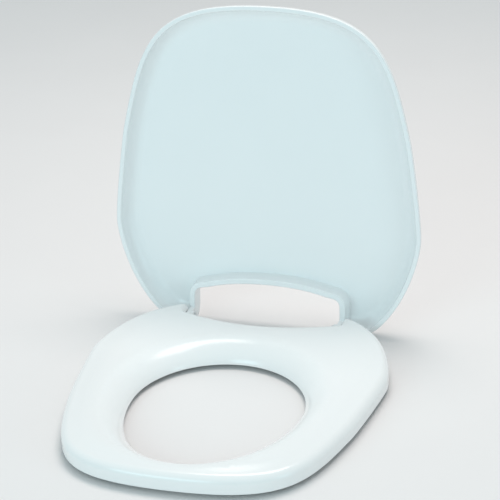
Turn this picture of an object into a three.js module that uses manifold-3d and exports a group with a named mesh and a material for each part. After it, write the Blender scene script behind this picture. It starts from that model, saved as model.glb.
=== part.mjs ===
// A moulded toilet seat and lid on a common rear hinge, shown with the lid standing open.
// Millimetres, +Z up. The seat's front faces -Y, the hinge is at the back, X runs left to right.
// The origin is on the ground, in the middle of the whole object's length and width.

import * as THREE from "three";
import { mergeVertices } from "three/addons/utils/BufferGeometryUtils.js";
import Module from "manifold-3d";

const wasm = await Module();
wasm.setup();

// ---------------------------------------------------------------- driving dimensions

const DEG = Math.PI / 180;
const GAP = 0.3; // clearance between pieces that touch

// Seat ring. Its drawing frame has y = 0 level with the hinge ears and z = 0 at the skirt's bottom edge.
const SEAT_LENGTH = 400;
const SEAT_HALF_WIDTH = 184;
const SEAT_WIDEST_Y = -131;
const SEAT_SHOULDER = 20; // height of the outer edge where its rounding ends
const SEAT_REAR_RISE = 5; // how much higher the outer edge stands near the hinge
const SEAT_RISE_FROM_Y = -170;
const SEAT_RISE_TO_Y = -40;
const SEAT_CROWN = 26; // highest line of the ring
const SEAT_EDGE_RADIUS = 9;
const SEAT_CROWN_RUN = 40; // distance from the outer edge over which the top rises to the crown
const SEAT_WALL = 3;
const EAR_WALL = 1.6; // thinner wall round the bearing blocks
const EAR_INNER_X = 100.5; // inboard face of each hinge ear
const EAR_TIP_Y = -0.6;
const NOTCH_Y = -23; // floor of the notch beside each ear
const EAR_BEND_OUT = 10; // the lines across the ring swing this far outwards to stay in the ears
const EAR_BEND_Y = -50;
const REAR_ARC_Y = -42; // middle of the concave rear edge

// Aperture, measured at its bottom edge.
const HOLE_HALF_WIDTH = 103;
const HOLE_CENTRE_Y = -214;
const HOLE_FRONT_REACH = 144;
const HOLE_REAR_REACH = 107;
const HOLE_SLOPE_RUN = 34; // distance over which the inner slope rises to the crown
const HOLE_SLOPE_POWER = 1.6;

// Hinge.
const PIN_Y = -13.5;
const PIN_Z = 11.5;
const LID_OPEN_ANGLE = 95.5 * DEG;

// Lid, drawn closed over the seat: its rim faces down at LID_RIM_Z.
const LID_OVERHANG = 11; // the lid's outline lies this far outside the seat's
const LID_RIM_Z = 26.5;
const LID_DEPTH = 25;
const LID_PANEL = 3;
const LID_RIM_WIDTH = 5.6;
const LID_COVE_WIDTH = 20;
const LID_REAR_Y = -1;
const LID_CORNER_X = 118; // where the rounded rear corner runs into the straight rear edge
const LID_CORNER_REACH = 22; // how far the corner's curve leans outwards before turning
const LID_CORNER_LEAD = 26; // how far it first carries on along the side
const LID_SIDE_TRIM = 3; // stations of the seat's side left out for the corner
const LID_EDGE_ROUND_WIDTH = 21; // rounding from the skirt into the back of the lid
const LID_EDGE_ROUND_START = 5;

// Arched cut-out between the lid's two legs.
const ARCH_HALF_WIDTH = 94;
const ARCH_TOP = 58; // distance of the top of the arch in front of y = 0
const ARCH_SHOULDER = 48.5; // the same where the rounded corners begin
const ARCH_BAND = 7; // wall around the cut-out

// Hinge hardware.
const KNUCKLE_INNER_X = 90.3;
const KNUCKLE_OUTER_X = 99.7;
const KNUCKLE_RADIUS = 6.5;
const HEEL_OUTER_X = 96;
const HEEL_REACH = 8.5; // stops the lid: the heel meets the notch's floor
const HEEL_ANGLE = 31 * DEG; // from straight down, with the lid closed
const PIN_RADIUS = 3;
const PIN_BORE = PIN_RADIUS + GAP;
const PIN_HEAD_RADIUS = 5;
const PIN_HEAD_LENGTH = 3;
const PIN_END_X = 116;
const BUSH_OUTER = 4.5;
const CLIP_X = 113.2;
const CLIP_THICKNESS = 1.2;
const CLIP_RADIUS = 5;
const GROOVE_RADIUS = 2.2;
const BLOCK_INNER_X = 104.3;
const BLOCK_OUTER_X = 112.6;
const BLOCK_FLANGE_X = 122;
const BLOCK_FLANGE_REAR = -19;
const BLOCK_FLANGE_FRONT = -47;
const BLOCK_FLANGE_BOTTOM = 8;
const BLOCK_FLANGE_TOP = 11;
const BLOCK_SCREW_X = 113;
const BLOCK_SCREW_YS = [-26, -40];
const SCREW_SHANK_RADIUS = 1.75;
const SCREW_HEAD_RADIUS = 3.8;
const SCREW_HEAD_HEIGHT = 2.4;
const SCREW_LENGTH = 8.5;
const SCREW_BOSS_RADIUS = 4.5;

// Buffers that the seat rests on.
const BUFFER_HEIGHT = 6;
const BUFFER_RADIUS = 9;
const BUFFER_STEM_RADIUS = 3.5;
const BUFFER_STEM_LENGTH = 9;
const BUFFER_BOSS_RADIUS = 7;
const BUFFER_PLACES = {
  front: { x: 112, y: -335 },
  rear: { x: 136, y: -52 },
};

// ---------------------------------------------------------------- outlines

const v2 = (x, y) => new THREE.Vector2(x, y);

function bezier(a, b, c, d, steps) {
  return new THREE.CubicBezierCurve(v2(...a), v2(...b), v2(...c), v2(...d)).getPoints(steps);
}

// Joins stretches that share end points into one list of points.
function chain(...stretches) {
  return stretches.flatMap((points, i) => (i === 0 ? points : points.slice(1)));
}

// Mirrors a half outline that runs from the front centre to the rear centre on the +X side.
function mirrored(half) {
  const other = half
    .slice(1, -1)
    .reverse()
    .map((p) => v2(-p.x, p.y));
  return [...half, ...other];
}

// The seat's side, from the middle of the front round to the hinge ear.
const seatSide = chain(
  bezier([0, -SEAT_LENGTH], [133, -SEAT_LENGTH], [146, -357], [170, -250], 12),
  bezier([170, -250], [173, -237], [SEAT_HALF_WIDTH, -154], [SEAT_HALF_WIDTH, SEAT_WIDEST_Y], 3),
  bezier([SEAT_HALF_WIDTH, SEAT_WIDEST_Y], [SEAT_HALF_WIDTH, -112], [168, -38], [114, -4], 7),
);

// From the ear's tip down into the notch and along the concave rear edge.
const EAR_STEPS = 4;
const NOTCH_STEPS = 3;
const seatRear = chain(
  bezier([114, -4], [109, EAR_TIP_Y], [101.5, EAR_TIP_Y + 1], [EAR_INNER_X, -6], EAR_STEPS),
  bezier([EAR_INNER_X, -6], [EAR_INNER_X, -9], [EAR_INNER_X, -15], [EAR_INNER_X, -18], 1),
  bezier([EAR_INNER_X, -18], [EAR_INNER_X, -22], [97, NOTCH_Y], [92, NOTCH_Y - 1], NOTCH_STEPS),
  bezier([92, NOTCH_Y - 1], [62, -36], [30, REAR_ARC_Y], [0, REAR_ARC_Y], 5),
);

const seatHalf = chain(seatSide, seatRear);
const seatOutline = mirrored(seatHalf);

// One point of the aperture's edge; turn runs from 0 at the front to pi at the rear.
function holePoint(turn) {
  const reach = turn < Math.PI / 2 ? HOLE_FRONT_REACH : HOLE_REAR_REACH;
  return v2(HOLE_HALF_WIDTH * Math.sin(turn), HOLE_CENTRE_Y - reach * Math.cos(turn));
}

// Lengths along a line of points, as fractions from 0 to 1.
function lengthFractions(points) {
  const sums = [0];
  for (let i = 1; i < points.length; i += 1) {
    sums.push(sums[i - 1] + points[i].distanceTo(points[i - 1]));
  }
  return sums.map((s) => s / sums[sums.length - 1]);
}

// The aperture's half edge with one point for each point of the seat's half outline.
function matchedHoleHalf() {
  const fine = Array.from({ length: 241 }, (_, i) => holePoint((Math.PI * i) / 240));
  const fineAt = lengthFractions(fine);
  const earShare = 0.83; // the ear tip is joined to this fraction of the aperture's edge
  const along = lengthFractions(seatHalf);
  const ear = along[seatSide.length + 1];
  return along.map((f) => {
    const g = f < ear ? (f / ear) * earShare : earShare + ((f - ear) / (1 - ear)) * (1 - earShare);
    const k = Math.min(fineAt.length - 2, Math.max(0, fineAt.findIndex((q) => q >= g) - 1));
    const t = (g - fineAt[k]) / (fineAt[k + 1] - fineAt[k]);
    return fine[k].clone().lerp(fine[k + 1], t);
  });
}

const holeOutline = mirrored(matchedHoleHalf());

// Moves each point of a counter-clockwise outline inwards along its normal.
function inset(outline, distance) {
  const n = outline.length;
  return outline.map((p, i) => {
    const tangent = outline[(i + 1) % n].clone().sub(outline[(i + n - 1) % n]).normalize();
    return v2(p.x - tangent.y * distance, p.y + tangent.x * distance);
  });
}

// Shortest distance from a point to a closed outline.
function distanceTo(outline, p) {
  const n = outline.length;
  let best = Infinity;
  for (let i = 0; i < n; i += 1) {
    const a = outline[i];
    const edge = outline[(i + 1) % n].clone().sub(a);
    const t = THREE.MathUtils.clamp(p.clone().sub(a).dot(edge) / edge.lengthSq(), 0, 1);
    best = Math.min(best, p.distanceTo(a.clone().addScaledVector(edge, t)));
  }
  return best;
}

// ---------------------------------------------------------------- solids

// A closed surface through rings of equally many points. Joined end to end when closed is true,
// otherwise the first and last rings are flat and get caps.
function skin(rings, closed) {
  const m = rings[0].length;
  const positions = rings.flat().flatMap((p) => [p.x, p.y, p.z]);
  const index = [];
  const last = closed ? rings.length : rings.length - 1;
  for (let i = 0; i < last; i += 1) {
    const a = i * m;
    const b = ((i + 1) % rings.length) * m;
    for (let j = 0; j < m; j += 1) {
      const k = (j + 1) % m;
      index.push(a + j, a + k, b + k, a + j, b + k, b + j);
    }
  }
  if (!closed) {
    const flat = (ring) => ring.map((p) => v2(p.x, p.y));
    const top = (rings.length - 1) * m;
    for (const [a, b, c] of THREE.ShapeUtils.triangulateShape(flat(rings[0]), [])) {
      index.push(a, c, b);
    }
    for (const [a, b, c] of THREE.ShapeUtils.triangulateShape(flat(rings[rings.length - 1]), [])) {
      index.push(top + a, top + b, top + c);
    }
  }
  const geometry = new THREE.BufferGeometry();
  geometry.setAttribute("position", new THREE.Float32BufferAttribute(positions, 3));
  geometry.setIndex(index);
  return geometry;
}

function solid(geometry) {
  const bare = geometry.clone();
  bare.deleteAttribute("normal");
  bare.deleteAttribute("uv");
  const merged = mergeVertices(bare, 1e-4);
  return new wasm.Manifold(
    new wasm.Mesh({
      numProp: 3,
      vertProperties: new Float32Array(merged.attributes.position.array),
      triVerts: new Uint32Array(merged.index.array),
    }),
  );
}

function geometryOf(manifold) {
  const mesh = manifold.getMesh();
  const geometry = new THREE.BufferGeometry();
  geometry.setAttribute("position", new THREE.BufferAttribute(mesh.vertProperties, 3));
  geometry.setIndex(new THREE.BufferAttribute(mesh.triVerts, 1));
  geometry.computeVertexNormals();
  return geometry;
}

// The moulding itself, without any sliver that a cut has left loose.
function largestBody(manifold) {
  const bodies = manifold.decompose();
  return bodies.reduce((a, b) => (a.volume() > b.volume() ? a : b));
}

// A box between two corners.
function boxBetween(low, high) {
  const size = high.map((h, i) => h - low[i]);
  const box = new THREE.BoxGeometry(...size);
  return box.translate(...low.map((l, i) => l + size[i] / 2));
}

// A cylinder standing on z = bottom.
function post(radius, bottom, top, x, y, sides = 24) {
  const cylinder = new THREE.CylinderGeometry(radius, radius, top - bottom, sides);
  return cylinder.rotateX(Math.PI / 2).translate(x, y, (bottom + top) / 2);
}

// A cylinder lying along X on the hinge axis.
function axle(radius, fromX, toX, sides = 32) {
  const cylinder = new THREE.CylinderGeometry(radius, radius, toX - fromX, sides);
  return cylinder.rotateZ(-Math.PI / 2).translate((fromX + toX) / 2, PIN_Y, PIN_Z);
}

// A turned piece: its profile is [radius, height] pairs from the axis back to the axis.
function turned(profile, sides = 32) {
  const lathe = new THREE.LatheGeometry(
    profile.map(([r, h]) => v2(r, h)),
    sides,
  );
  return lathe.rotateX(Math.PI / 2);
}

// ---------------------------------------------------------------- seat ring

// Height of the seat's top over a point, from its distance to the outer edge and to the aperture.
function seatTop(p) {
  const fromEdge = distanceTo(seatOutline, p);
  const fromHole = distanceTo(holeOutline, p);
  const r = SEAT_EDGE_RADIUS;
  const drop = fromEdge < r ? r - Math.sqrt(r * r - (r - fromEdge) ** 2) : 0;
  const rise = THREE.MathUtils.smoothstep(fromEdge, 0, SEAT_CROWN_RUN);
  const toRear = THREE.MathUtils.smoothstep(p.y, SEAT_RISE_FROM_Y, SEAT_RISE_TO_Y);
  const shoulder = SEAT_SHOULDER + SEAT_REAR_RISE * toRear;
  const outer = shoulder - drop + (SEAT_CROWN - shoulder) * rise;
  const run = Math.max(0, 1 - fromHole / HOLE_SLOPE_RUN);
  const inner = SEAT_CROWN * (1 - run ** HOLE_SLOPE_POWER) ** (1 / HOLE_SLOPE_POWER);
  const blend = 3;
  const h = Math.max(blend - Math.abs(outer - inner), 0) / blend;
  return Math.min(outer, inner) - (h * h * blend) / 4;
}

// How far the line across the seat at station i bends to stay inside a hinge ear, from 0 to 1.
function earBend(i) {
  const n = seatOutline.length;
  const k = Math.min(i, n - i);
  const tip = seatSide.length;
  const corner = tip + EAR_STEPS + NOTCH_STEPS;
  const before = THREE.MathUtils.smoothstep(k, tip - 5, tip);
  return before * (1 - THREE.MathUtils.smoothstep(k, corner, corner + 3));
}

// Rings of points across the seat, one for each station round it. wall is 0 for the outside
// surface and the wall thickness for the hollow beneath it.
function seatSections(wall) {
  const outer = inset(seatOutline, wall);
  const inner = inset(holeOutline, -wall);
  const bottom = wall ? -2 : 0;
  return outer.map((o, i) => {
    const h = inner[i];
    const length = o.distanceTo(h);
    const squeeze = Math.min(1, length / 48);
    const outerSteps = wall ? [0, 5, 14] : [0, 1.2, 4, 9, 18];
    const innerSteps = wall ? [14, 6, 0] : [21, 11, 4, 0];
    const fromOuter = outerSteps.map((d) => (d * squeeze) / length);
    const fromInner = innerSteps.map((d) => 1 - (d * squeeze) / length);
    const bend = earBend(i);
    const elbow = o.clone().lerp(h, 0.5);
    elbow.lerp(v2(o.x + Math.sign(o.x) * EAR_BEND_OUT, EAR_BEND_Y), bend);
    const path = new THREE.QuadraticBezierCurve(o, elbow, h);
    const across = [...fromOuter, ...fromInner].map((t) => path.getPoint(t));
    const top = across.map((p, k) => {
      const atHole = k === across.length - 1;
      const height = atHole && !wall ? 1.2 : seatTop(p) - wall;
      return new THREE.Vector3(p.x, p.y, Math.max(height, bottom + 1));
    });
    return [
      ...top.reverse(),
      new THREE.Vector3(o.x, o.y, bottom),
      new THREE.Vector3(h.x, h.y, bottom),
    ];
  });
}

function seatRing() {
  const envelope = solid(skin(seatSections(0), true));
  const hollow = solid(skin(seatSections(SEAT_WALL), true));
  const earRoom = solid(skin(seatSections(EAR_WALL), true));
  let inside = null;
  const include = (geometry) => {
    inside = inside ? inside.add(solid(geometry)) : solid(geometry);
  };
  for (const side of [-1, 1]) {
    for (const place of Object.values(BUFFER_PLACES)) {
      include(post(BUFFER_BOSS_RADIUS, 0, SEAT_CROWN, side * place.x, place.y));
    }
    for (const y of BLOCK_SCREW_YS) {
      const bottom = BLOCK_FLANGE_TOP + GAP;
      include(post(SCREW_BOSS_RADIUS, bottom, SEAT_CROWN, side * BLOCK_SCREW_X, y));
    }
  }
  let ring = envelope.subtract(hollow).add(inside.intersect(envelope));
  for (const side of [-1, 1]) {
    for (const place of Object.values(BUFFER_PLACES)) {
      const depth = BUFFER_STEM_LENGTH + 1;
      const hole = post(BUFFER_STEM_RADIUS + GAP, -1, depth, side * place.x, place.y);
      ring = ring.subtract(solid(hole));
    }
    for (const y of BLOCK_SCREW_YS) {
      const hole = post(SCREW_SHANK_RADIUS + GAP, 9, 19, side * BLOCK_SCREW_X, y, 16);
      ring = ring.subtract(solid(hole));
    }
    // Room for the bearing block and its pin inside the ear.
    const span = (from, to) => (side > 0 ? [from, to] : [-to, -from]);
    const pocketFrom = EAR_INNER_X + SEAT_WALL + GAP;
    const [flangeLow, flangeHigh] = span(pocketFrom, BLOCK_FLANGE_X + 1);
    const flangeRoom = boxBetween(
      [flangeLow, BLOCK_FLANGE_FRONT - 1, -1],
      [flangeHigh, PIN_Y, BLOCK_FLANGE_TOP + GAP],
    );
    const [bodyLow, bodyHigh] = span(pocketFrom, PIN_END_X + 1);
    const bodyRoom = boxBetween([bodyLow, PIN_Y - 7, -1], [bodyHigh, PIN_Y + 7, PIN_Z + 7]);
    ring = ring.subtract(solid(flangeRoom).add(solid(bodyRoom)).intersect(earRoom));
    const bore = axle(PIN_BORE, side > 0 ? 95 : -108, side > 0 ? 108 : -95);
    ring = ring.subtract(solid(bore));
  }
  return geometryOf(largestBody(ring).simplify(0.02));
}

// ---------------------------------------------------------------- lid

// The lid's outline: the seat's outline carried outwards, with a rounded corner into a straight rear.
function lidOutline() {
  const side = inset(seatOutline, -LID_OVERHANG).slice(0, seatSide.length - LID_SIDE_TRIM);
  const start = side[side.length - 1];
  const before = side[side.length - 2];
  const lead = start.clone().sub(before).setLength(LID_CORNER_LEAD).add(start);
  const corner = bezier(
    [start.x, start.y],
    [lead.x, lead.y],
    [LID_CORNER_X + LID_CORNER_REACH, LID_REAR_Y],
    [LID_CORNER_X, LID_REAR_Y],
    7,
  );
  const rear = [v2(LID_CORNER_X, LID_REAR_Y), v2(0, LID_REAR_Y)];
  return mirrored(chain(side, corner, rear));
}

const raise = (outline, z) => outline.map((p) => new THREE.Vector3(p.x, p.y, z));

// Outside of the lid: a straight skirt rounding into a flat back.
function lidEnvelope(outline) {
  const steps = 5;
  const rings = [raise(outline, LID_RIM_Z)];
  for (let i = 0; i <= steps; i += 1) {
    const turn = (i / steps) * (Math.PI / 2);
    const reach = 0.4 + LID_EDGE_ROUND_WIDTH * (1 - Math.cos(turn));
    const height = LID_EDGE_ROUND_START + (LID_DEPTH - LID_EDGE_ROUND_START) * Math.sin(turn);
    rings.push(raise(inset(outline, reach), LID_RIM_Z + height));
  }
  return solid(skin(rings, false));
}

// Inside of the lid: a hollow cove from the rim down to the flat panel.
function lidHollow(outline) {
  const steps = 5;
  const depth = LID_DEPTH - LID_PANEL;
  const rings = [raise(inset(outline, LID_RIM_WIDTH), LID_RIM_Z - 2)];
  for (let i = 0; i <= steps; i += 1) {
    const turn = (i / steps) * (Math.PI / 2);
    const reach = LID_RIM_WIDTH + LID_COVE_WIDTH * (1 - Math.cos(turn));
    rings.push(raise(inset(outline, reach), LID_RIM_Z + depth * Math.sin(turn)));
  }
  return solid(skin(rings, false));
}

// The arch between the lid's legs, grown by a margin.
function archPrism(margin, bottom, top) {
  const half = ARCH_HALF_WIDTH + margin;
  const crown = -ARCH_TOP - margin;
  const shoulder = -ARCH_SHOULDER - margin;
  const right = chain(
    [v2(half, 20), v2(half, -34)],
    bezier([half, -34], [half, -46], [half - 5, shoulder + 1.5], [half - 17, shoulder], 6),
    bezier([half - 17, shoulder], [50, crown + 1.8], [25, crown], [0, crown], 6),
  );
  const left = right
    .slice(0, -1)
    .reverse()
    .map((p) => v2(-p.x, p.y));
  const shape = new THREE.Shape([...right, ...left]);
  const prism = new THREE.ExtrudeGeometry(shape, { depth: top - bottom, bevelEnabled: false });
  return solid(prism.translate(0, 0, bottom));
}

// One hinge knuckle: a barrel round the pin, a web up to the lid's leg, and a heel that meets the
// floor of the seat's notch when the lid is fully open.
function knuckle(side) {
  const inner = KNUCKLE_INNER_X;
  const outer = KNUCKLE_OUTER_X;
  const span = (from, to) => (side > 0 ? [from, to] : [-to, -from]);
  const barrelAt = span(inner, outer);
  const webAt = span(ARCH_HALF_WIDTH + 0.2, outer);
  const barrel = axle(KNUCKLE_RADIUS, ...barrelAt);
  const web = boxBetween(
    [webAt[0], PIN_Y - KNUCKLE_RADIUS, PIN_Z],
    [webAt[1], PIN_Y + KNUCKLE_RADIUS, LID_RIM_Z + 3],
  );
  const heelAt = span(inner + 0.7, HEEL_OUTER_X);
  const heel = boxBetween([heelAt[0], -3, -HEEL_REACH], [heelAt[1], 3, 0]);
  heel.rotateX(HEEL_ANGLE).translate(0, PIN_Y, PIN_Z);
  return solid(barrel).add(solid(web)).add(solid(heel));
}

function lidShell() {
  const outline = lidOutline();
  const top = LID_RIM_Z + LID_DEPTH;
  const wallArch = archPrism(ARCH_BAND, LID_RIM_Z - 5, top + 5);
  let lid = lidEnvelope(outline).subtract(lidHollow(outline).subtract(wallArch));
  lid = lid.subtract(archPrism(0, LID_RIM_Z - 5, top + 5));
  for (const side of [-1, 1]) {
    lid = lid.add(knuckle(side));
    const bore = axle(BUSH_OUTER + GAP, side > 0 ? 85 : -105, side > 0 ? 105 : -85);
    lid = lid.subtract(solid(bore));
  }
  return geometryOf(lid);
}

// ---------------------------------------------------------------- hinge hardware

// Stepped pin with a domed head inboard and a groove for its clip outboard, along +X.
function hingePin() {
  const head = KNUCKLE_INNER_X - GAP - PIN_HEAD_LENGTH;
  const shank = KNUCKLE_INNER_X - GAP;
  const grooveFrom = CLIP_X - GAP;
  const grooveTo = CLIP_X + CLIP_THICKNESS + GAP;
  const profile = [
    [0, head],
    [PIN_HEAD_RADIUS * 0.6, head + 0.3],
    [PIN_HEAD_RADIUS * 0.9, head + 1.1],
    [PIN_HEAD_RADIUS, head + 2],
    [PIN_HEAD_RADIUS, shank],
    [PIN_RADIUS, shank],
    [PIN_RADIUS, grooveFrom],
    [GROOVE_RADIUS, grooveFrom],
    [GROOVE_RADIUS, grooveTo],
    [PIN_RADIUS, grooveTo],
    [PIN_RADIUS, PIN_END_X - 0.8],
    [PIN_RADIUS - 0.8, PIN_END_X],
    [0, PIN_END_X],
  ];
  return turned(profile, 24);
}

// Spring clip: a C of sheet metal that snaps into the pin's groove, along +X.
function pinClip() {
  const bore = GROOVE_RADIUS + GAP;
  const mouth = 50 * DEG;
  const shape = new THREE.Shape();
  shape.absarc(0, 0, CLIP_RADIUS, mouth / 2, 2 * Math.PI - mouth / 2, false);
  shape.absarc(0, 0, bore, 2 * Math.PI - mouth / 2, mouth / 2, true);
  shape.closePath();
  const clip = new THREE.ExtrudeGeometry(shape, {
    depth: CLIP_THICKNESS,
    bevelEnabled: false,
    curveSegments: 12,
  });
  return clip.translate(0, 0, CLIP_X);
}

// Plain sleeve pressed into the lid's knuckle, along +X.
function hingeBush() {
  const bore = PIN_BORE;
  const from = KNUCKLE_INNER_X;
  const to = KNUCKLE_OUTER_X;
  const profile = [
    [bore, from],
    [BUSH_OUTER, from],
    [BUSH_OUTER, to],
    [bore, to],
    [bore, from],
  ];
  return turned(profile);
}

// Moulded block that carries the pin inside the ear, with a screwed flange.
function bearingBlock(side) {
  const span = (from, to) => (side > 0 ? [from, to] : [-to, -from]);
  const [bodyLow, bodyHigh] = span(BLOCK_INNER_X, BLOCK_OUTER_X);
  const [flangeLow, flangeHigh] = span(BLOCK_INNER_X, BLOCK_FLANGE_X);
  const half = 6;
  const body = boxBetween(
    [bodyLow, PIN_Y - half, PIN_Z - half],
    [bodyHigh, PIN_Y + half - 1, PIN_Z + half - 1],
  );
  const flange = boxBetween(
    [flangeLow, BLOCK_FLANGE_FRONT, BLOCK_FLANGE_BOTTOM],
    [flangeHigh, BLOCK_FLANGE_REAR, BLOCK_FLANGE_TOP],
  );
  const neck = boxBetween(
    [bodyLow, BLOCK_FLANGE_REAR - 3, PIN_Z - half],
    [bodyHigh, PIN_Y - half + 1, BLOCK_FLANGE_TOP],
  );
  let block = solid(body).add(solid(flange)).add(solid(neck));
  block = block.subtract(solid(axle(PIN_BORE, bodyLow - 1, bodyHigh + 1)));
  for (const y of BLOCK_SCREW_YS) {
    const hole = post(SCREW_SHANK_RADIUS + GAP, 0, 20, side * BLOCK_SCREW_X, y, 16);
    block = block.subtract(solid(hole));
  }
  return geometryOf(block);
}

// Pan-head screw driven upwards; its head is under the flange.
function blockScrew() {
  const headTop = BLOCK_FLANGE_BOTTOM - GAP;
  const headBottom = headTop - SCREW_HEAD_HEIGHT;
  const tip = headTop + SCREW_LENGTH;
  const profile = [
    [0, headBottom],
    [SCREW_HEAD_RADIUS * 0.7, headBottom + 0.3],
    [SCREW_HEAD_RADIUS, headBottom + 1.2],
    [SCREW_HEAD_RADIUS, headTop],
    [SCREW_SHANK_RADIUS, headTop],
    [SCREW_SHANK_RADIUS, tip - 1.5],
    [0, tip],
  ];
  return turned(profile, 14);
}

// Rubber buffer with a stem that plugs into the seat's boss.
function seatBuffer() {
  const foot = -BUFFER_HEIGHT;
  const profile = [
    [0, foot],
    [BUFFER_RADIUS - 1.5, foot],
    [BUFFER_RADIUS, foot + 1.5],
    [BUFFER_RADIUS - 1, -GAP],
    [BUFFER_STEM_RADIUS, -GAP],
    [BUFFER_STEM_RADIUS, BUFFER_STEM_LENGTH - 1],
    [BUFFER_STEM_RADIUS - 1, BUFFER_STEM_LENGTH],
    [0, BUFFER_STEM_LENGTH],
  ];
  return turned(profile, 20);
}

// ---------------------------------------------------------------- materials

const paint = (color, roughness, metalness) =>
  new THREE.MeshStandardMaterial({ color, roughness, metalness });

const glossWhite = paint(0xeef5f5, 0.22, 0);
const lidWhite = paint(0xd8ebee, 0.24, 0);
const nylon = paint(0xe6e3d8, 0.45, 0);
const steel = paint(0xb9bcc0, 0.3, 1);
const rubber = paint(0xc9cdcd, 0.7, 0);

// ---------------------------------------------------------------- assembly

const part = new THREE.Group();
const drawing = new THREE.Group();
part.add(drawing);

function place(parent, name, geometry, material, position = [0, 0, 0]) {
  const mesh = new THREE.Mesh(geometry, material);
  mesh.name = name;
  mesh.position.set(...position);
  parent.add(mesh);
  return mesh;
}

// Turned pieces are made standing on Z. This lays one along the hinge axis, on either side.
function layAlongHinge(mesh, side) {
  mesh.rotation.y = side * (Math.PI / 2);
  mesh.position.set(0, PIN_Y, PIN_Z);
}

place(drawing, "seat_ring", seatRing(), glossWhite);

// The lid and its bushes are drawn closed, then swung open about the hinge axis.
const lidSwing = new THREE.Group();
lidSwing.position.set(0, PIN_Y, PIN_Z);
lidSwing.rotation.x = -LID_OPEN_ANGLE;
const lid = new THREE.Group();
lid.position.set(0, -PIN_Y, -PIN_Z);
lidSwing.add(lid);
drawing.add(lidSwing);
place(lid, "lid_shell", lidShell(), lidWhite);

for (const [label, side] of [["left", -1], ["right", 1]]) {
  layAlongHinge(place(lid, `lid_bush_${label}`, hingeBush(), nylon), side);
  layAlongHinge(place(drawing, `hinge_pin_${label}`, hingePin(), steel), side);
  layAlongHinge(place(drawing, `pin_clip_${label}`, pinClip(), steel), side);
  place(drawing, `bearing_block_${label}`, bearingBlock(side), nylon);
  BLOCK_SCREW_YS.forEach((y, i) => {
    const name = `block_screw_${label}_${i === 0 ? "rear" : "front"}`;
    place(drawing, name, blockScrew(), steel, [side * BLOCK_SCREW_X, y, 0]);
  });
  for (const [where, spot] of Object.entries(BUFFER_PLACES)) {
    const name = `seat_buffer_${where}_${label}`;
    place(drawing, name, seatBuffer(), rubber, [side * spot.x, spot.y, 0]);
  }
}

// Stand the seat on its buffers and centre the whole object over the origin.
part.updateMatrixWorld(true);
const box = new THREE.Box3().setFromObject(part, true);
drawing.position.set(0, -(box.min.y + box.max.y) / 2, -box.min.z);

export default part;
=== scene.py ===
"""A moulded toilet seat and lid on a common rear hinge, shown with the lid open."""

import math

import bmesh
import bpy
import numpy as np
from mathutils import Matrix, Vector
from mathutils.geometry import delaunay_2d_cdt


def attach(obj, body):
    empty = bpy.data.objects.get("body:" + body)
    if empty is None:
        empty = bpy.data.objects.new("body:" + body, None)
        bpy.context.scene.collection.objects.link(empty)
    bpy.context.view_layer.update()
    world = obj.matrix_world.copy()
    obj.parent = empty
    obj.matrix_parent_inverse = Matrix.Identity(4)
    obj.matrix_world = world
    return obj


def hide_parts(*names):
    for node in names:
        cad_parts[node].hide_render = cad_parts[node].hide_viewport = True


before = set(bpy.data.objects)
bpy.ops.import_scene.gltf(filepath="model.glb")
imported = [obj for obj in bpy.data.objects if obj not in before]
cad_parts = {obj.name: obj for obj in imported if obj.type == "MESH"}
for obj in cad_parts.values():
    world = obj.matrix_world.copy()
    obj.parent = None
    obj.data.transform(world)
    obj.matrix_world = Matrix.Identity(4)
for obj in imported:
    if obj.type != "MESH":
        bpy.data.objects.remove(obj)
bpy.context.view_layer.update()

# ------------------------------------------------------------------ dimensions
# Millimetres in the drawing frame: y = 0 level with the hinge ears, z = 0 at the skirt's bottom.

SHIFT_Y = 168.818  # from the drawing frame to the part's frame
SHIFT_Z = 6.0

SHOULDER = 20.0  # height of the ring's outer edge where its rounding ends
REAR_RISE = 5.0  # how much higher that edge stands near the hinge
CROWN = 26.0  # highest line of the ring
EDGE_RADIUS = 9.0
CROWN_RUN = 40.0  # distance from the outer edge over which the top rises to the crown
SLOPE_RUN = 34.0  # the same from the hole's edge
SLOPE_POWER = 1.6
WALL = 3.0
EAR_WALL = 1.6
FOOT_ROUND = 0.6  # rounding of the bottom edges

HOLE_Y = -214.0  # where the hole is widest
HOLE_HALF = 103.0
HOLE_FRONT = 144.0
HOLE_REAR = 107.0

PIN_Y = -13.5
PIN_Z = 11.5
OPEN_ANGLE = math.radians(-95.5)

RIM_Z = 26.5  # height of the closed lid's rim
LID_DEPTH = 24.85
LID_BACK = 5.0  # height of the lid's outer edge, where its rounded back starts
BACK_ROUND = 21.0
LID_PANEL = 3.0
RIM_WIDTH = 5.6
RIM_ROUND = 1.2
COVE = 20.0  # width of the curve from the rim to the flat panel
OVERHANG = 11.0  # how far the lid's outline lies outside the seat's
LID_REAR = -1.0  # the lid's straight rear edge
CORNER_TRIM = 26  # points of the widened side that the lid's rear corner takes the place of
CORNER_LEAD = 26.0  # how far the corner first carries on along the side
ARCH_HALF = 94.0
ARCH_BAND = 7.0
ARCH_COVE = 2.5

BORE = 4.8  # radius of a knuckle's bore, where the bush sits
PIN_BORE = 3.3  # radius of the pin's bore through an ear
DRILL_SPAN = (95, 108)  # where that bore is cut, measured outwards from the middle
BARREL = 6.5  # radius of a knuckle's barrel
KNUCKLE_SPAN = (90.3, 99.7)  # the barrel's ends, measured outwards from the middle
HEEL_TILT = math.radians(31)
HEEL_HALF = 3.0

BUFFERS = ((112, -335), (136, -52))
SCREW_X = 113
SCREW_YS = (-26, -40)
RIB_COUNT = 12
RIB_HALF = 1.0
RIB_FOOT = 3.0  # height of a rib's lower edge
RIB_SINK = 1.2  # how far a rib stays inside the ring's faces


# ------------------------------------------------------------------ outlines

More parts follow.
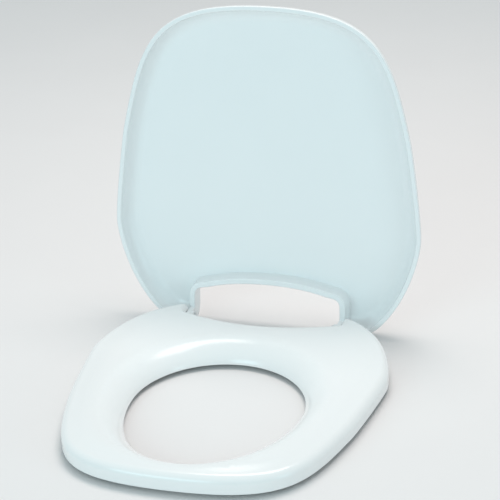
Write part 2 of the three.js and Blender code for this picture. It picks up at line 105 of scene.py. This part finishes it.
def bezier(a, b, c, d, steps=60):
    """Points along a cubic curve, in millimetres."""
    t = np.linspace(0, 1, steps + 1)[:, None]
    a, b, c, d = (np.array(p, float) for p in (a, b, c, d))
    return (1 - t) ** 3 * a + 3 * (1 - t) ** 2 * t * b + 3 * (1 - t) * t * t * c + t**3 * d


def chain(*stretches):
    """Stretches that start where the last one ends, as one line."""
    return np.vstack([stretches[0]] + [s[1:] for s in stretches[1:]])


def mirrored(half):
    """A closed loop from its right half, which runs from one point on x = 0 to another."""
    other = half[1:-1][::-1] * np.array([-1.0, 1.0])
    return np.vstack([half, other])


def resampled(points, step, closed=True):
    """The same line with points at even distances."""
    line = np.vstack([points, points[:1]]) if closed else points
    length = np.concatenate([[0], np.cumsum(np.hypot(*np.diff(line, axis=0).T))])
    count = max(2, round(length[-1] / step))
    at = np.linspace(0, length[-1], count + 1)
    if closed:
        at = at[:-1]
    return np.column_stack([np.interp(at, length, line[:, i]) for i in (0, 1)])


def inward(outline):
    """Unit normals of a counter-clockwise outline."""
    tangent = np.roll(outline, -1, 0) - np.roll(outline, 1, 0)
    tangent /= np.hypot(*tangent.T)[:, None]
    return np.column_stack([-tangent[:, 1], tangent[:, 0]])


def offset(outline, distance):
    """A counter-clockwise outline moved inwards; points that would cross over are left out."""
    moved = outline + inward(outline) * distance
    return moved[distance_to(outline, moved) > abs(distance) - 0.05]


def distance_to(outline, points, closed=True):
    """Each point's distance to the nearest stretch of an outline, worked out in batches."""
    a = outline if closed else outline[:-1]
    b = np.roll(outline, -1, 0) if closed else outline[1:]
    edge = b - a
    squared = np.maximum((edge**2).sum(1), 1e-9)
    best = np.empty(len(points))
    batch = 1500
    for i in range(0, len(points), batch):
        p = points[i : i + batch, None, :]
        t = np.clip(((p - a) * edge).sum(2) / squared, 0, 1)
        gap = a + t[..., None] * edge - p
        best[i : i + batch] = np.sqrt((gap**2).sum(2).min(1))
    return np.where(best < 0.02, 0.0, best)


def inside(outline, points):
    """Which points lie within a closed outline."""
    x, y = points[:, 0], points[:, 1]
    found = np.zeros(len(points), bool)
    for (x0, y0), (x1, y1) in zip(outline, np.roll(outline, -1, 0)):
        if y0 == y1:
            continue
        crosses = (y0 > y) != (y1 > y)
        found ^= crosses & (x < x0 + (y - y0) * (x1 - x0) / (y1 - y0))
    return found


def smoothstep(x, low, high):
    t = np.clip((x - low) / (high - low), 0, 1)
    return t * t * (3 - 2 * t)


seat_side = chain(
    bezier((0, -400), (133, -400), (146, -357), (170, -250)),
    bezier((170, -250), (173, -237), (184, -154), (184, -131)),
    bezier((184, -131), (184, -112), (168, -38), (114, -4)),
)
seat_rear = chain(
    bezier((114, -4), (109, -0.6), (101.5, 0.4), (100.5, -6)),
    bezier((100.5, -6), (100.5, -9), (100.5, -15), (100.5, -18)),
    bezier((100.5, -18), (100.5, -22), (97, -23), (92, -24)),
    bezier((92, -24), (62, -36), (30, -42), (0, -42)),
)
seat_outline = resampled(mirrored(chain(seat_side, seat_rear)), 1.6)

turn = np.linspace(0, math.pi, 241)
hole_half = np.column_stack(
    [
        HOLE_HALF * np.sin(turn),
        HOLE_Y - np.where(turn < math.pi / 2, HOLE_FRONT, HOLE_REAR) * np.cos(turn),
    ]
)
hole_half[[0, -1], 0] = 0
hole_outline = resampled(mirrored(hole_half), 2.2)


def lid_outlines():
    """The lid's whole outline, its arch, and the loop round both."""
    around = mirrored(chain(seat_side, seat_rear))
    wide = around - inward(around) * OVERHANG
    side = wide[: len(seat_side) - CORNER_TRIM]
    side[0, 0] = 0
    along = side[-1] - side[-2]
    lead = side[-1] + along * CORNER_LEAD / np.hypot(*along)
    corner = bezier(side[-1], lead, (140, LID_REAR), (118, LID_REAR))
    half = chain(side, corner)
    full = mirrored(np.vstack([half, [[60, LID_REAR], [0, LID_REAR]]]))
    arch_half = chain(
        np.array([[ARCH_HALF, LID_REAR], [ARCH_HALF, -34.0]]),
        bezier((ARCH_HALF, -34), (ARCH_HALF, -46), (89, -47), (77, -48.5)),
        bezier((77, -48.5), (50, -56.2), (25, -58), (0, -58)),
    )
    arch = np.vstack([arch_half, arch_half[:-1][::-1] * np.array([-1.0, 1.0])])
    left = half[1:][::-1] * np.array([-1.0, 1.0])
    loop = np.vstack([half, arch, left])
    return resampled(full, 2.0), resampled(arch, 1.6, closed=False), loop


lid_outline, arch_line, lid_loop_sharp = lid_outlines()


# ------------------------------------------------------------------ surfaces as heights

def round_foot(distance, radius):
    """Height of a convex rounding at a distance from the edge where it starts."""
    short = np.clip(radius - distance, 0, radius)
    return radius - np.sqrt(radius**2 - short**2)


def quarter(distance, reach, rise):
    """Height of an elliptical cove that starts upright and ends level."""
    t = np.clip(1 - distance / reach, 0, 1)
    return rise * np.sqrt(1 - t * t)


def soft_min(a, b, blend):
    """The lower of two heights, rounded over where they cross."""
    h = np.clip(blend - np.abs(a - b), 0, blend) / blend
    return np.minimum(a, b) - h * h * blend / 4


def seat_top(points):
    """The ring's top: a rounded edge, a rise to the crown, and a curve down into the hole."""
    edge = distance_to(seat_outline, points)
    hole = distance_to(hole_outline, points)
    shoulder = SHOULDER + REAR_RISE * smoothstep(points[:, 1], -170, -40)
    rise = (CROWN - shoulder) * smoothstep(edge, 0, CROWN_RUN)
    outer = shoulder - round_foot(edge, EDGE_RADIUS) + rise
    run = np.clip(1 - hole / SLOPE_RUN, 0, 1)
    inner = CROWN * (1 - run**SLOPE_POWER) ** (1 / SLOPE_POWER)
    return np.maximum(soft_min(outer, inner, 3.0), 1.2)


def seat_wall(points):
    """The ring's wall, thinner in the ears to leave room for the bearing blocks."""
    return WALL - (WALL - EAR_WALL) * smoothstep(points[:, 1], -60, -35)


def seat_ceiling(points):
    return seat_top(points) - seat_wall(points)


def lid_inside(points):
    """Heights above the closed lid's rim of the face that the photo shows."""
    edge = distance_to(lid_outline, points)
    arch = distance_to(arch_line, points, closed=False)
    panel = LID_DEPTH - LID_PANEL - RIM_ROUND

    def wall(distance, width, reach):
        turning = np.clip(distance - width + RIM_ROUND, 0, RIM_ROUND)
        lip = RIM_ROUND - np.sqrt(RIM_ROUND**2 - turning**2)
        deep = RIM_ROUND + quarter(np.maximum(distance - width, 0), reach, panel)
        return np.where(distance < width, lip, deep)

    cove = wall(edge, RIM_WIDTH, COVE)
    band = wall(arch, ARCH_BAND, ARCH_COVE)
    low = np.maximum(soft_min(cove, band, 4.0), 0)
    return np.maximum(low, np.maximum(round_foot(edge, 1.0), round_foot(arch, 1.0)))


def lid_outside(points):
    """Heights of the other face: a short skirt, then a rounded back."""
    edge = distance_to(lid_outline, points)
    arch = distance_to(arch_line, points, closed=False)
    skirt = 1 + edge * 10
    back = LID_BACK + quarter(np.maximum(edge - 0.4, 0), BACK_ROUND, LID_DEPTH - LID_BACK)
    return np.where(edge < 0.4, skirt, back) - round_foot(arch, 2.0)


# ------------------------------------------------------------------ meshes

def patch(outer, holes, rows, height, up):
    """Faces over a flat region: its edge loops, rows of points that follow them, heights on top."""
    loops = [outer, *holes]
    points = [tuple(p) for loop in loops for p in loop]
    edges, start = [], 0
    for loop in loops:
        n = len(loop)
        edges += [(start + i, start + (i + 1) % n) for i in range(n)]
        start += n
    extra = np.vstack(rows)
    keep = inside(outer, extra)
    near = distance_to(outer, extra)
    for hole in holes:
        keep &= ~inside(hole, extra)
        near = np.minimum(near, distance_to(hole, extra))
    extra = extra[keep & (near > 0.05)]
    points += [tuple(p) for p in extra]
    flat, _, triangles, *_ = delaunay_2d_cdt([Vector(p) for p in points], edges, [], 0, 1e-4, False)
    flat = np.array([tuple(p) for p in flat])
    triangles = np.array([list(t) for t in triangles])
    middle = flat[triangles].mean(1)
    keep = inside(outer, middle)
    for hole in holes:
        keep &= ~inside(hole, middle)
    triangles = triangles[keep]
    a, b, c = (flat[triangles[:, i]] for i in range(3))
    ab, ac = b - a, c - a
    wrong = (ab[:, 0] * ac[:, 1] - ab[:, 1] * ac[:, 0] > 0) != up
    triangles[wrong] = triangles[wrong][:, ::-1]
    return np.column_stack([flat, height(flat)]), triangles.tolist()


def upright(loop, levels, outward):
    """A wall over a closed loop through levels, each one height or one height per point."""
    n = len(loop)
    points = np.vstack([np.column_stack([loop, np.broadcast_to(z, n)]) for z in levels])
    faces = []
    for k in range(len(levels) - 1):
        for i in range(n):
            j = (i + 1) % n
            quad = [k * n + i, k * n + j, (k + 1) * n + j, (k + 1) * n + i]
            faces.append(quad if outward else quad[::-1])
    return points, faces


def make(name, pieces, weld=0.01):
    """One mesh object out of (points, faces) pairs in the drawing frame."""
    points, faces, start = [], [], 0
    for p, f in pieces:
        points.append(p)
        faces += [[start + i for i in face] for face in f]
        start += len(p)
    mesh = bpy.data.meshes.new(name)
    mesh.from_pydata(np.vstack(points).tolist(), [], faces)
    bm = bmesh.new()
    bm.from_mesh(mesh)
    bmesh.ops.remove_doubles(bm, verts=bm.verts, dist=weld)
    bmesh.ops.dissolve_degenerate(bm, edges=bm.edges, dist=1e-4)
    bmesh.ops.recalc_face_normals(bm, faces=bm.faces)
    bm.to_mesh(mesh)
    bm.free()
    obj = bpy.data.objects.new(name, mesh)
    bpy.context.scene.collection.objects.link(obj)
    return obj


def revolve(profile, sides=48):
    """A closed turned piece about Z; the profile is (radius, height) pairs."""
    points, faces = [], []
    n = len(profile)
    for i in range(sides):
        a = 2 * math.pi * i / sides
        points += [(r * math.cos(a), r * math.sin(a), z) for r, z in profile]
    for i in range(sides):
        for k in range(n):
            m = (k + 1) % n
            j = (i + 1) % sides
            faces.append([i * n + k, j * n + k, j * n + m, i * n + m])
    return np.array(points), faces


def rows_from(outline, distances, rival=None, slack=1.0):
    """Rows of points at distances inside an outline, where it is nearer than its rival."""
    rows = []
    for d in distances:
        row = offset(outline, d)
        if rival is not None and len(row):
            row = row[distance_to(rival[0], row, rival[1]) > d - slack]
        rows.append(row)
    return [r for r in rows if len(r)]


def open_rows(line, distances, rival):
    """The same to the right of an open line, which runs round the arch."""
    tangent = np.gradient(line, axis=0)
    tangent /= np.hypot(*tangent.T)[:, None]
    normal = np.column_stack([-tangent[:, 1], tangent[:, 0]])
    rows = []
    for d in distances:
        row = line + normal * d
        row = row[distance_to(line, row, False) > d - 0.05]
        row = row[distance_to(rival, row) > d - 1]
        rows.append(row)
    return [r for r in rows if len(r)]


def grid(low, high, step):
    """Points spread evenly over a rectangle."""
    x, y = np.meshgrid(*(np.arange(float(a), b, step) for a, b in zip(low, high)))
    x[1::2] += step / 2  # every second row is shifted, so the triangles come out even
    return np.column_stack([x.ravel(), y.ravel()])


def arcs(start, reach, step):
    """Distances that lie close together where a quarter round is steep."""
    return [start + reach * (1 - math.cos(math.radians(a))) for a in range(step, 91, step)]


# ------------------------------------------------------------------ seat ring

def seat_ring():
    """The ring as a shell, open underneath: top, ceiling, bottom edges and side walls."""
    edge_rows = rows_from(seat_outline, arcs(0, EDGE_RADIUS, 8) + [11.5, 14.5, 18, 22])
    hole_distances = [0.15, 0.5, 1, 1.8, 2.8, 4, 5.5, 7.5, 10, 12.5, 15.5, 18.5, 22, 26, 30]
    hole_rows = rows_from(hole_outline[::-1], hole_distances, (seat_outline, True), 3)
    field = grid((-190, -405), (190, 5), 4.5)
    field = field[
        (distance_to(seat_outline, field) > 24) & (distance_to(hole_outline, field) > 32)
    ]
    parts = [patch(seat_outline, [hole_outline], edge_rows + hole_rows + [field], seat_top, True)]

    room = seat_outline + inward(seat_outline) * seat_wall(seat_outline)[:, None]
    room = room[distance_to(seat_outline, room) > seat_wall(room) - 0.08]
    hole_room = offset(hole_outline[::-1], WALL)[::-1]
    field = grid((-190, -405), (190, 5), 5)
    room_rows = [offset(room, d) for d in (1.5, 3.5, 6, 9, 13)]
    hole_rows = [offset(hole_room[::-1], d) for d in (1.5, 3.5, 6.5, 10, 15)]
    parts.append(patch(room, [hole_room], room_rows + hole_rows + [field], seat_ceiling, False))

    foot_rows = [offset(seat_outline, d) for d in (0.08, 0.25, FOOT_ROUND)]
    foot_rows += [offset(hole_outline[::-1], d) for d in (0.08, 0.25, FOOT_ROUND)]

    def foot(points):
        outer = round_foot(distance_to(seat_outline, points), FOOT_ROUND)
        inner = round_foot(distance_to(hole_outline, points), FOOT_ROUND)
        return np.maximum(outer, inner)

    parts.append(patch(seat_outline, [room], foot_rows, foot, False))
    parts.append(patch(hole_room, [hole_outline], foot_rows, foot, False))

    top = seat_top(seat_outline)
    levels = [FOOT_ROUND + (top - FOOT_ROUND) * t for t in (0, 0.25, 0.5, 0.75, 1)]
    parts.append(upright(seat_outline, levels, True))
    parts.append(upright(hole_outline, [FOOT_ROUND, seat_top(hole_outline)], False))
    parts.append(upright(room, [0, seat_ceiling(room)], False))
    parts.append(upright(hole_room, [0, seat_ceiling(hole_room)], True))
    shell = make("seat_ring_moulding", parts)

    # The pin's bore through each ear's inboard wall.
    start, end = DRILL_SPAN
    drill = [(0, start), (PIN_BORE, start), (PIN_BORE, end), (0, end)]
    for side in (-1, 1):
        points, faces = revolve(drill, 40)
        points = np.column_stack([side * points[:, 2], points[:, 0] + PIN_Y, points[:, 1] + PIN_Z])
        tool = make("bore_tool", [(points, faces)])
        cut = shell.modifiers.new("bore", "BOOLEAN")
        cut.operation = "DIFFERENCE"
        cut.object = tool
        bpy.context.view_layer.objects.active = shell
        bpy.ops.object.modifier_apply(modifier=cut.name)
        bpy.data.objects.remove(tool)
    return shell


def roof_over(x, y, radius):
    """A height inside the wall above a round post."""
    a = np.linspace(0, 2 * math.pi, 16, endpoint=False)
    around = np.column_stack([x + radius * np.cos(a), y + radius * np.sin(a)])
    return float(seat_top(around).min()) - 1.0


def socket(x, y, bore, low, high, outer, lip=0.0, sides=48):
    """A round boss under the ring: a blind bore from low to high, and a rounded lip at its foot."""
    roof = roof_over(abs(x), y, outer)
    foot = [(bore, low)]
    edge = [(outer, low)]
    if lip:
        foot = [(bore, low + lip), (bore + lip, low)]
        edge = [(outer - lip, low), (outer, low + lip)]
    points, faces = revolve([(0, high), (bore, high), *foot, *edge, (outer, roof), (0, roof)], sides)
    return points + np.array([x, y, 0]), faces


def rib(angle):
    """A thin radial rib between the outer skirt and the wall round the hole."""
    ray = np.array([math.cos(angle), math.sin(angle)])
    across = np.array([-ray[1], ray[0]]) * RIB_HALF
    line = np.array([0, HOLE_Y]) + np.arange(60, 260, 2.0)[:, None] * ray
    fits = inside(seat_outline, line) & ~inside(hole_outline, line)
    fits &= distance_to(seat_outline, line) > RIB_SINK
    fits &= distance_to(hole_outline, line) > RIB_SINK
    line = line[fits]
    roof = np.maximum(seat_top(line) - RIB_SINK, RIB_FOOT)
    floor = np.full(len(line), RIB_FOOT)
    near, far = line - across, line + across
    corners = [(near, floor), (far, floor), (far, roof), (near, roof)]
    points = np.vstack([np.column_stack([p, z]) for p, z in corners])
    n = len(line)
    faces = [
        [k * n + j, (k + 1) % 4 * n + j, (k + 1) % 4 * n + j + 1, k * n + j + 1]
        for k in range(4)
        for j in range(n - 1)
    ]
    faces += [[0, n, 2 * n, 3 * n], [4 * n - 1, 3 * n - 1, 2 * n - 1, n - 1]]
    return points, faces


def seat_bosses():
    """Sockets for the buffers and the block screws, and the ribs, all under the ring."""
    parts = []
    for side in (-1, 1):
        for x, y in BUFFERS:
            parts.append(socket(side * x, y, 3.8, 0, 10, 7, lip=0.4))
        for y in SCREW_YS:
            parts.append(socket(side * SCREW_X, y, 2.05, 11.3, 19, 4.5, sides=32))
    step = 2 * math.pi / RIB_COUNT
    parts += [rib(step * (i + 0.5)) for i in range(RIB_COUNT)]
    return make("seat_bosses", parts, weld=0.001)


# ------------------------------------------------------------------ lid

def lid_moulding():
    """The lid as a closed shell, drawn lying closed over the ring."""
    loop = resampled(lid_loop_sharp, 1.8)
    rim = [0.12, 0.4, 0.7, 1, 2.7, 4.4, 4.7, 5.0, 5.25, 5.45, 5.55, 5.6]
    cove = arcs(RIM_WIDTH, COVE, 7)
    inner = rows_from(lid_outline, rim + cove, (arch_line, False))
    band = [0.12, 0.4, 0.7, 1, 3.4, 5.8, 6.1, 6.4, 6.65, 6.85, 7] + arcs(ARCH_BAND, ARCH_COVE, 10)
    inner += open_rows(arch_line, band, lid_outline)
    field = grid((-200, -415), (200, 0), 7)
    flat = field[
        (distance_to(lid_outline, field) > 28) & (distance_to(arch_line, field, False) > 15)
    ]
    parts = [patch(loop, [], inner + [flat], lid_inside, False)]
    outer = rows_from(lid_outline, [0.2, 0.4] + arcs(0.4, BACK_ROUND, 7), (arch_line, False), 200)
    outer += open_rows(arch_line, [0.1, 0.35, 0.8, 1.4, 2], lid_outline)
    flat = field[distance_to(lid_outline, field) > 24]
    parts.append(patch(loop, [], outer + [flat], lid_outside, True))
    low, high = lid_inside(loop), lid_outside(loop)
    levels = [low + (high - low) * t for t in (0, 0.33, 0.67, 1)]
    parts.append(upright(loop, levels, True))
    for points, _ in parts:
        points[:, 2] += RIM_Z
    return make("lid_moulding", parts, weld=0.012)


def plate(outline, holes, low, high, bevel, name):
    """A plate with rounded edges: its outline is drawn in YZ and it lies between two x values."""
    curve = bpy.data.curves.new(name, "CURVE")
    curve.dimensions = "2D"
    curve.fill_mode = "BOTH"
    curve.extrude = (high - low) / 2 - bevel
    curve.bevel_depth = bevel
    curve.bevel_resolution = 3
    curve.offset = -bevel
    for loop in (outline, *holes):
        spline = curve.splines.new("POLY")
        spline.points.add(len(loop) - 1)
        for point, (y, z) in zip(spline.points, loop):
            point.co = (y, z, 0, 1)
        spline.use_cyclic_u = True
    drawn = bpy.data.objects.new(name, curve)
    bpy.context.scene.collection.objects.link(drawn)
    bpy.context.view_layer.update()
    final = drawn.evaluated_get(bpy.context.evaluated_depsgraph_get())
    mesh = bpy.data.meshes.new_from_object(final)
    bpy.data.objects.remove(drawn)
    turned = Matrix(((0, 0, 1, (low + high) / 2), (1, 0, 0, 0), (0, 1, 0, 0), (0, 0, 0, 1)))
    mesh.transform(turned)
    bm = bmesh.new()
    bm.from_mesh(mesh)
    bmesh.ops.remove_doubles(bm, verts=bm.verts, dist=0.002)
    bmesh.ops.recalc_face_normals(bm, faces=bm.faces)
    bm.to_mesh(mesh)
    bm.free()
    obj = bpy.data.objects.new(name, mesh)
    bpy.context.scene.collection.objects.link(obj)
    return obj


def circle(radius, sides=64, start=0.0, end=2 * math.pi, closed=True):
    a = np.linspace(start, end, sides, endpoint=not closed)
    return [(PIN_Y + radius * math.cos(t), PIN_Z + radius * math.sin(t)) for t in a]


def knuckles():
    """Barrel, web and heel of each hinge knuckle, drawn with the lid closed."""
    left, right, top = PIN_Y - BARREL, PIN_Y + BARREL, RIM_Z + 3
    under = circle(BORE + 0.4, 24, math.pi, 0, closed=False)
    web = [(right, top), (left, top), (left, PIN_Z), *under, (right, PIN_Z)]

    down = np.array([math.sin(HEEL_TILT), -math.cos(HEEL_TILT)])
    across = np.array([down[1], -down[0]]) * HEEL_HALF
    near, far = (np.array([PIN_Y, PIN_Z]) + down * reach for reach in (BARREL - 1.2, BARREL + 2))
    heel = [tuple(p) for p in (near - across, far - across, far + across, near + across)]

    made = []
    for side in (-1, 1):
        for outline, holes, low, high, bevel, name in (
            (circle(BARREL), [circle(BORE)], *KNUCKLE_SPAN, 0.5, "barrel"),
            (web, [], 94.2, KNUCKLE_SPAN[1], 0.3, "web"),
            (heel, [], 91, 96, 0.3, "heel"),
        ):
            ends = sorted((side * low, side * high))
            made.append(plate(outline, holes, *ends, bevel, name))
    return made


# ------------------------------------------------------------------ materials

def link(tree, out, into):
    tree.links.new(out, into)


def noise(tree, scale, detail=3.0, stretch=(1, 1, 1)):
    place = tree.nodes.new("ShaderNodeTexCoord")
    shape = tree.nodes.new("ShaderNodeMapping")
    shape.inputs["Scale"].default_value = stretch
    made = tree.nodes.new("ShaderNodeTexNoise")
    made.inputs["Scale"].default_value = scale
    made.inputs["Detail"].default_value = detail
    link(tree, place.outputs["Object"], shape.inputs["Vector"])
    link(tree, shape.outputs["Vector"], made.inputs["Vector"])
    return made.outputs["Fac"]


def ramped(tree, value, stops):
    ramp = tree.nodes.new("ShaderNodeValToRGB")
    ramp.color_ramp.elements[0].position = stops[0][0]
    ramp.color_ramp.elements[0].color = (*stops[0][1], 1)
    ramp.color_ramp.elements[1].position = stops[1][0]
    ramp.color_ramp.elements[1].color = (*stops[1][1], 1)
    link(tree, value, ramp.inputs["Fac"])
    return ramp.outputs["Color"]


def ranged(tree, value, low, high, start=0.3, end=0.7):
    node = tree.nodes.new("ShaderNodeMapRange")
    node.inputs["From Min"].default_value = start
    node.inputs["From Max"].default_value = end
    node.inputs["To Min"].default_value = low
    node.inputs["To Max"].default_value = high
    link(tree, value, node.inputs["Value"])
    return node.outputs["Result"]


def finish_material(name, pale, deep, rough, grain, bump, metallic=0.0, marks=0.03):
    """Mottled colour, uneven roughness with fine rubbed marks, and a real-scale surface grain."""
    material = bpy.data.materials.new(name)
    material.use_nodes = True
    tree = material.node_tree
    shader = next(n for n in tree.nodes if n.type == "BSDF_PRINCIPLED")
    shader.inputs["Metallic"].default_value = metallic
    colour = ramped(tree, noise(tree, 7, 2), [(0.25, deep), (0.75, pale)])
    link(tree, colour, shader.inputs["Base Color"])
    broad = ranged(tree, noise(tree, 18, 3), rough[0], rough[1])
    rubbed = ranged(tree, noise(tree, 260, 4, (1, 0.06, 0.3)), 0.0, marks, 0.55, 0.75)
    total = tree.nodes.new("ShaderNodeMath")
    total.operation = "ADD"
    link(tree, broad, total.inputs[0])
    link(tree, rubbed, total.inputs[1])
    link(tree, total.outputs[0], shader.inputs["Roughness"])
    surface = tree.nodes.new("ShaderNodeBump")
    surface.inputs["Strength"].default_value = bump
    surface.inputs["Distance"].default_value = 0.0001
    link(tree, noise(tree, grain, 2), surface.inputs["Height"])
    link(tree, surface.outputs["Normal"], shader.inputs["Normal"])
    return material


seat_plastic = finish_material(
    "seat_plastic", (0.868, 0.862, 0.858), (0.854, 0.852, 0.849), (0.16, 0.21), 700, 0.06, marks=0.015
)
lid_plastic = finish_material(
    "lid_plastic", (0.872, 0.886, 0.89), (0.858, 0.876, 0.881), (0.2, 0.26), 700, 0.06, marks=0.015
)
nylon = finish_material("nylon", (0.80, 0.79, 0.75), (0.74, 0.73, 0.68), (0.4, 0.52), 1400, 0.3)
steel = finish_material(
    "pin_steel", (0.66, 0.67, 0.68), (0.56, 0.57, 0.58), (0.22, 0.38), 1800, 0.2, 1.0, marks=0.12
)
rubber = finish_material("buffer_rubber", (0.62, 0.64, 0.64), (0.54, 0.56, 0.56), (0.6, 0.75), 1600, 0.5)


# ------------------------------------------------------------------ assembly

def dress(obj, material):
    obj.data.materials.clear()
    obj.data.materials.append(material)


def joined(parts, name):
    """Several meshes made into one object."""
    bpy.ops.object.select_all(action="DESELECT")
    for part in parts:
        part.select_set(True)
    bpy.context.view_layer.objects.active = parts[0]
    bpy.ops.object.join()
    parts[0].name = name
    parts[0].data.name = name
    return parts[0]


def to_frame(obj):
    """From the drawing frame in millimetres to the part's frame in metres."""
    obj.data.transform(Matrix.Translation((0, SHIFT_Y, SHIFT_Z)))
    obj.data.transform(Matrix.Scale(0.001, 4))


def smooth_by_angle(obj, degrees):
    obj.data.polygons.foreach_set("use_smooth", [True] * len(obj.data.polygons))
    obj.data.set_sharp_from_angle(angle=math.radians(degrees))
    weighted = obj.modifiers.new("normals", "WEIGHTED_NORMAL")
    weighted.keep_sharp = True


seat = joined([seat_ring(), seat_bosses()], "seat_ring_fine")
to_frame(seat)
smooth_by_angle(seat, 40)
dress(seat, seat_plastic)
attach(seat, "seat")
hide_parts("seat_ring")

lid = joined([lid_moulding(), *knuckles()], "lid_fine")
swing = Matrix.Translation((0, PIN_Y, PIN_Z)) @ Matrix.Rotation(OPEN_ANGLE, 4, "X")
lid.data.transform(swing @ Matrix.Translation((0, -PIN_Y, -PIN_Z)))
to_frame(lid)
smooth_by_angle(lid, 40)
dress(lid, lid_plastic)
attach(lid, "lid")
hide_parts("lid_shell")

finishes = {"lid_bush": nylon, "bearing_block": nylon, "seat_buffer": rubber}
for name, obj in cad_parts.items():
    if name in ("seat_ring", "lid_shell"):
        continue
    dress(obj, next((m for start, m in finishes.items() if name.startswith(start)), steel))

# ------------------------------------------------------------------ floor, light and camera

FLOOR_REACH = 14.0
corners = [(x * FLOOR_REACH, y * FLOOR_REACH, 0) for x, y in ((-1, -1), (1, -1), (1, 1), (-1, 1))]
mesh = bpy.data.meshes.new("floor")
mesh.from_pydata(corners, [], [(0, 1, 2, 3)])
floor = bpy.data.objects.new("floor", mesh)
bpy.context.scene.collection.objects.link(floor)
paper = finish_material("floor_paper", (0.82, 0.79, 0.785), (0.81, 0.78, 0.775), (0.8, 0.9), 400, 0.05)
dress(floor, paper)


def area_light(name, place, target, size, power, colour):
    light = bpy.data.lights.new(name, "AREA")
    light.shape = "RECTANGLE"
    light.size, light.size_y = size
    light.energy = power
    light.color = colour
    obj = bpy.data.objects.new(name, light)
    bpy.context.scene.collection.objects.link(obj)
    obj.location = place
    obj.rotation_euler = (Vector(target) - Vector(place)).to_track_quat("-Z", "Y").to_euler()


area_light("overhead", (0.1, 0.55, 1.9), (0, -0.05, 0.02), (1.3, 0.7), 18, (1.0, 0.90, 0.855))
area_light("front", (-0.9, -2.4, 1.0), (0, 0.1, 0.15), (1.6, 0.9), 18.5, (0.62, 0.94, 1.0))
area_light("right", (2.0, -0.9, 0.5), (0, 0.1, 0.05), (0.7, 0.9), 4.5, (0.6, 0.94, 1.0))

world = bpy.data.worlds.new("studio")
bpy.context.scene.world = world
world.use_nodes = True
bpy.context.scene.view_settings.view_transform = "Standard"
background = next(n for n in world.node_tree.nodes if n.type == "BACKGROUND")
background.inputs["Color"].default_value = (0.82, 0.935, 0.965, 1)
background.inputs["Strength"].default_value = 0.65

AZIMUTH, ELEVATION, ROLL = (math.radians(a) for a in (17.124, 24.563, -2.581))
DISTANCE = 2.4027
AIM = Vector((-0.01485, 0.16962, 0.10757))
back = Vector((
    math.sin(AZIMUTH) * math.cos(ELEVATION),
    -math.cos(AZIMUTH) * math.cos(ELEVATION),
    math.sin(ELEVATION),
))
level = Vector((math.cos(AZIMUTH), math.sin(AZIMUTH), 0))
above = back.cross(level)
right = level * math.cos(ROLL) + above * math.sin(ROLL)
upward = above * math.cos(ROLL) - level * math.sin(ROLL)
lens = bpy.data.cameras.new("camera")
lens.sensor_width = 36
lens.lens = 139.8
lens.shift_x = -0.004
lens.shift_y = 0.0033
camera = bpy.data.objects.new("camera", lens)
bpy.context.scene.collection.objects.link(camera)
turned = Matrix((right, upward, back)).transposed().to_4x4()
camera.matrix_world = Matrix.Translation(AIM + back * DISTANCE) @ turned
bpy.context.scene.camera = camera
